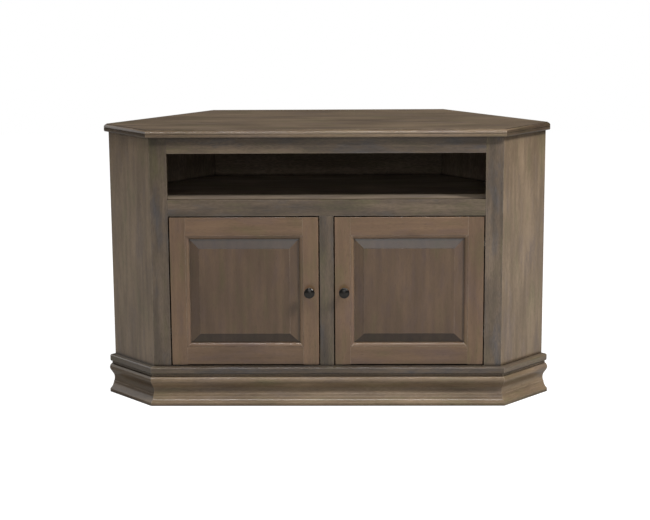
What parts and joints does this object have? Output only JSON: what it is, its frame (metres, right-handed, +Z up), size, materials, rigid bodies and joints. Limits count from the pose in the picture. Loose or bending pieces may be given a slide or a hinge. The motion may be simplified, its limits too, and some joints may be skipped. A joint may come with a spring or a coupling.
{
  "type": "corner television cabinet",
  "caption": "Corner television cabinet in stained maple: open media bay over two inset raised-panel doors, moulded top and base.",
  "frame": {"origin": "on the floor, at the centre of the object's width and depth", "axes": "+Z up, front and doors towards -Y, +X to the right seen from the front; the rear panel faces +Y, towards the room's corner"},
  "size_m": [1.2788, 0.4342, 0.792],
  "materials": {
    "case_wood": "grey-brown stained maple, satin lacquer",
    "frame_wood": "dark grey-brown stained maple, satin lacquer",
    "door_wood": "warm brown stained maple, satin lacquer",
    "inner_wood": "stained maple, satin lacquer",
    "back_plywood": "stained maple plywood, matt",
    "bronze": "oil-rubbed bronze, dark",
    "nickel": "nickel-plated steel"
  },
  "bodies": {
    "cabinet": {"top_panel": "case_wood", "right_side_panel": "case_wood", "left_side_panel": "case_wood", "right_back_panel": "back_plywood", "left_back_panel": "back_plywood", "rear_panel": "back_plywood", "right_rear_post": "inner_wood", "left_rear_post": "inner_wood", "media_shelf": "inner_wood", "floor_panel": "inner_wood", "adjustable_shelf": "inner_wood", "right_hinge_cleat": "inner_wood", "left_hinge_cleat": "inner_wood", "right_side_shelf_pin": "nickel", "left_side_shelf_pin": "nickel", "right_rear_shelf_pin": "nickel", "left_rear_shelf_pin": "nickel", "right_outer_stile": "frame_wood", "left_outer_stile": "frame_wood", "top_rail": "frame_wood", "middle_rail": "frame_wood", "bottom_rail": "frame_wood", "center_stile": "frame_wood", "base_front": "case_wood", "right_base_side": "case_wood", "left_base_side": "case_wood", "cap_front": "frame_wood", "right_cap_side": "frame_wood", "left_cap_side": "frame_wood", "right_lower_hinge_arm": "nickel", "left_lower_hinge_arm": "nickel", "right_upper_hinge_arm": "nickel", "left_upper_hinge_arm": "nickel", "right_lower_hinge_plate": "nickel", "left_lower_hinge_plate": "nickel", "right_upper_hinge_plate": "nickel", "left_upper_hinge_plate": "nickel"},
    "right_door": {"right_door_hinge_stile": "door_wood", "right_door_meeting_stile": "door_wood", "right_door_bottom_rail": "door_wood", "right_door_top_rail": "door_wood", "right_door_panel": "door_wood", "right_knob": "bronze", "right_knob_screw": "nickel", "right_lower_hinge_cup": "nickel", "right_upper_hinge_cup": "nickel"},
    "left_door": {"left_door_hinge_stile": "door_wood", "left_door_meeting_stile": "door_wood", "left_door_bottom_rail": "door_wood", "left_door_top_rail": "door_wood", "left_door_panel": "door_wood", "left_knob": "bronze", "left_knob_screw": "nickel", "left_lower_hinge_cup": "nickel", "left_upper_hinge_cup": "nickel"},
    "right_hinge_links": {"right_lower_hinge_link": "nickel", "right_upper_hinge_link": "nickel"},
    "left_hinge_links": {"left_lower_hinge_link": "nickel", "left_upper_hinge_link": "nickel"}
  },
  "joints": [
    {"name": "right_door_swing", "type": "hinge", "parent": "cabinet", "child": "right_door", "pos_m": [0.4333, -0.18336, 0.3295], "axis": [0, 0, 1], "range_deg": [0, 95]},
    {"name": "left_door_swing", "type": "hinge", "parent": "cabinet", "child": "left_door", "pos_m": [-0.4333, -0.18336, 0.3295], "axis": [0, 0, -1], "range_deg": [0, 95]},
    {"name": "right_link_turn", "type": "hinge", "parent": "cabinet", "child": "right_hinge_links", "pos_m": [0.4093, -0.17706, 0.3295], "axis": [0, 0, -1], "range_deg": [0, 62]},
    {"name": "left_link_turn", "type": "hinge", "parent": "cabinet", "child": "left_hinge_links", "pos_m": [-0.4093, -0.17706, 0.3295], "axis": [0, 0, 1], "range_deg": [0, 62]}
  ],
  "couplings": [
    {"joint": "right_link_turn", "follows": "right_door_swing", "ratio": 0.65},
    {"joint": "left_link_turn", "follows": "left_door_swing", "ratio": 0.65}
  ]
}
